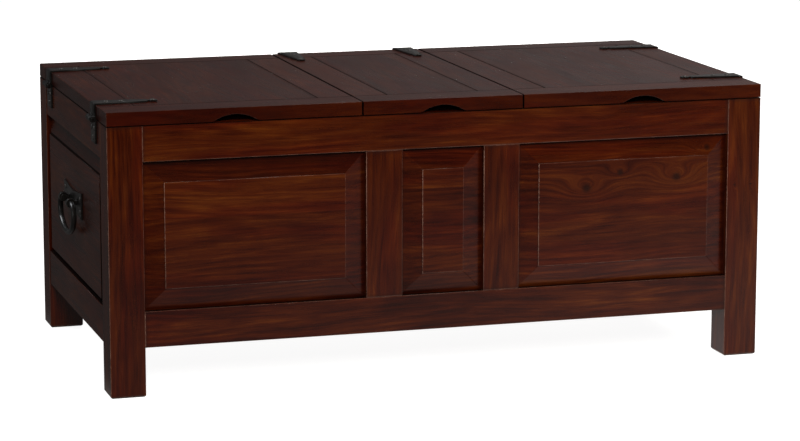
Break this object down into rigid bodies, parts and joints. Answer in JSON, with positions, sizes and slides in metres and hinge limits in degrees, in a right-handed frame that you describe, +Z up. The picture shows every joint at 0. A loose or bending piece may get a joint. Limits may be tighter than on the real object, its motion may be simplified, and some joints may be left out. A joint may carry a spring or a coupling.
{
  "type": "wooden storage chest",
  "caption": "Low trunk-style wooden chest: frame-and-panel carcass on square legs, three separately hinged lids with iron straps, and an iron drop handle on each side.",
  "frame": {"origin": "on the floor, under the middle of the carcass", "axes": "+X along the chest to its right end as seen from the front, +Y from the front to the back, +Z up"},
  "size_m": [1.24, 0.6554, 0.5048],
  "materials": {
    "carcass_wood": "dark red-brown stain under satin lacquer, arrises rubbed lighter",
    "lid_wood": "dark red-brown stain under satin lacquer, arrises rubbed lighter",
    "iron": "blackened forged iron, waxed"
  },
  "bodies": {
    "carcass": {"back_bottom_rail": "carcass_wood", "back_left_leg": "carcass_wood", "back_left_muntin": "carcass_wood", "back_left_panel": "carcass_wood", "back_middle_panel": "carcass_wood", "back_right_leg": "carcass_wood", "back_right_muntin": "carcass_wood", "back_right_panel": "carcass_wood", "back_top_rail": "carcass_wood", "floor_cleats": "carcass_wood", "floor_panel": "carcass_wood", "front_bottom_rail": "carcass_wood", "front_left_leg": "carcass_wood", "front_left_muntin": "carcass_wood", "front_left_panel": "carcass_wood", "front_middle_panel": "carcass_wood", "front_right_leg": "carcass_wood", "front_right_muntin": "carcass_wood", "front_right_panel": "carcass_wood", "front_top_rail": "carcass_wood", "hinge_leaves": "iron", "hinge_pins": "iron", "leaf_screws": "iron", "left_bottom_rail": "carcass_wood", "left_handle_eyes": "iron", "left_handle_plate": "iron", "left_side_panel": "carcass_wood", "left_top_rail": "carcass_wood", "plate_nails": "iron", "right_bottom_rail": "carcass_wood", "right_handle_eyes": "iron", "right_handle_plate": "iron", "right_side_panel": "carcass_wood", "right_top_rail": "carcass_wood"},
    "left_lid": {"left_lid_back_rail": "lid_wood", "left_lid_back_strap": "iron", "left_lid_front_rail": "lid_wood", "left_lid_front_strap": "iron", "left_lid_left_stile": "lid_wood", "left_lid_panel": "lid_wood", "left_lid_right_stile": "lid_wood", "left_lid_rivets": "iron"},
    "middle_lid": {"middle_lid_back_rail": "lid_wood", "middle_lid_front_rail": "lid_wood", "middle_lid_left_stile": "lid_wood", "middle_lid_left_strap": "iron", "middle_lid_panel": "lid_wood", "middle_lid_right_stile": "lid_wood", "middle_lid_right_strap": "iron", "middle_lid_rivets": "iron"},
    "right_lid": {"right_lid_back_rail": "lid_wood", "right_lid_back_strap": "iron", "right_lid_front_rail": "lid_wood", "right_lid_front_strap": "iron", "right_lid_left_stile": "lid_wood", "right_lid_panel": "lid_wood", "right_lid_right_stile": "lid_wood", "right_lid_rivets": "iron"},
    "left_bail": {"left_bail": "iron"},
    "right_bail": {"right_bail": "iron"}
  },
  "joints": [
    {"name": "left_lid_hinge", "type": "hinge", "parent": "carcass", "child": "left_lid", "pos_m": [-0.6059, 0, 0.4755], "axis": [0, -1, 0], "range_deg": [0, 190]},
    {"name": "middle_lid_hinge", "type": "hinge", "parent": "carcass", "child": "middle_lid", "pos_m": [0, 0.3279, 0.4755], "axis": [-1, 0, 0], "range_deg": [0, 190]},
    {"name": "right_lid_hinge", "type": "hinge", "parent": "carcass", "child": "right_lid", "pos_m": [0.6059, 0, 0.4755], "axis": [0, 1, 0], "range_deg": [0, 190]},
    {"name": "left_bail_swing", "type": "hinge", "parent": "carcass", "child": "left_bail", "pos_m": [-0.6115, 0, 0.295], "axis": [0, 1, 0], "range_deg": [-8, 188]},
    {"name": "right_bail_swing", "type": "hinge", "parent": "carcass", "child": "right_bail", "pos_m": [0.6115, 0, 0.295], "axis": [0, -1, 0], "range_deg": [-8, 188]}
  ]
}
